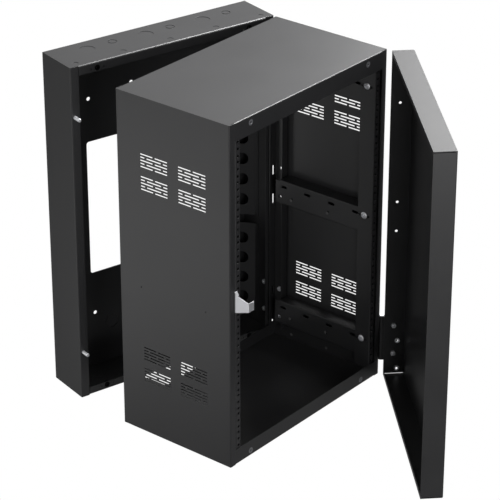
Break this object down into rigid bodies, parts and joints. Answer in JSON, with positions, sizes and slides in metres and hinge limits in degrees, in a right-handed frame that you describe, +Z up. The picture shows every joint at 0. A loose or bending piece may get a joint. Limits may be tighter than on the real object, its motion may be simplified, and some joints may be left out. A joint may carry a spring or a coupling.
{
  "type": "swing-out wall mount network cabinet",
  "caption": "Wall mount network cabinet whose rack body swings out from a fixed wall section, with a hinged front door, punched rack rails and a cam lock.",
  "frame": {"origin": "centre of the wall bolt pattern, on the back plane of the fixed wall section", "axes": "+X to the right seen from the front, -Y to the front (away from the wall), +Z up"},
  "size_m": [0.6521, 0.8849, 0.79],
  "materials": {
    "powder_coated_steel": "satin black powder coat",
    "zinc_plated_steel": "bright zinc plate",
    "chromed_zinc": "polished"
  },
  "bodies": {
    "wall_section": {"wall_back_panel": "powder_coated_steel", "wall_top_panel": "powder_coated_steel", "wall_bottom_panel": "powder_coated_steel", "wall_side_left": "powder_coated_steel", "wall_side_right": "powder_coated_steel", "corner_gusset_left_lower": "powder_coated_steel", "corner_gusset_left_middle": "powder_coated_steel", "corner_gusset_left_upper": "powder_coated_steel", "corner_gusset_right_lower": "powder_coated_steel", "corner_gusset_right_middle": "powder_coated_steel", "corner_gusset_right_upper": "powder_coated_steel", "swing_hinge_wall_leaf_lower": "powder_coated_steel", "swing_hinge_wall_leaf_upper": "powder_coated_steel", "swing_hinge_pin_lower": "zinc_plated_steel", "swing_hinge_pin_upper": "zinc_plated_steel", "locating_studs": "zinc_plated_steel", "wall_clinch_nuts": "zinc_plated_steel", "swing_hinge_wall_bolts": "zinc_plated_steel", "swing_hinge_wall_nuts": "zinc_plated_steel"},
    "cabinet_body": {"swing_hinge_body_leaf_lower": "powder_coated_steel", "swing_hinge_body_leaf_upper": "powder_coated_steel", "body_top_panel": "powder_coated_steel", "body_bottom_panel": "powder_coated_steel", "body_side_left": "powder_coated_steel", "body_side_right": "powder_coated_steel", "rear_stiffener_left": "powder_coated_steel", "rear_stiffener_right": "powder_coated_steel", "rail_brace_left_lower": "powder_coated_steel", "rail_brace_left_middle": "powder_coated_steel", "rail_brace_left_upper": "powder_coated_steel", "rail_brace_right_lower": "powder_coated_steel", "rail_brace_right_middle": "powder_coated_steel", "rail_brace_right_upper": "powder_coated_steel", "front_rail_left": "powder_coated_steel", "front_rail_right": "powder_coated_steel", "rail_bolts": "zinc_plated_steel", "rail_nuts": "zinc_plated_steel", "swing_hinge_body_bolts": "zinc_plated_steel", "swing_hinge_body_nuts": "zinc_plated_steel", "strike": "zinc_plated_steel", "body_clinch_nuts": "zinc_plated_steel", "door_hinge_body_leaf": "powder_coated_steel", "door_hinge_pin": "zinc_plated_steel", "door_hinge_body_bolts": "zinc_plated_steel", "door_hinge_body_nuts": "zinc_plated_steel"},
    "front_door": {"door_panel": "powder_coated_steel", "door_hinge_door_leaf": "powder_coated_steel", "door_hinge_door_bolts": "zinc_plated_steel", "door_hinge_door_nuts": "zinc_plated_steel", "door_clinch_nuts": "zinc_plated_steel", "lock_housing": "chromed_zinc", "lock_nut": "chromed_zinc"},
    "lock_cam_body": {"lock_plug": "chromed_zinc", "lock_cam": "zinc_plated_steel", "cam_screw": "zinc_plated_steel"}
  },
  "joints": [
    {"name": "body_swing", "type": "hinge", "parent": "wall_section", "child": "cabinet_body", "pos_m": [0.2648, -0.1, 0], "axis": [0, 0, 1], "range_deg": [-15.2, 74.8]},
    {"name": "door_swing", "type": "hinge", "parent": "cabinet_body", "child": "front_door", "pos_m": [0.35169, -0.3996, 0], "axis": [0, 0, 1], "range_deg": [-44.9, 90.1]},
    {"name": "lock_turn", "type": "hinge", "parent": "front_door", "child": "lock_cam_body", "pos_m": [0.16544, -0.82901, -0.018], "axis": [-0.8669, 0.4985, 0], "range_deg": [0, 90]}
  ]
}
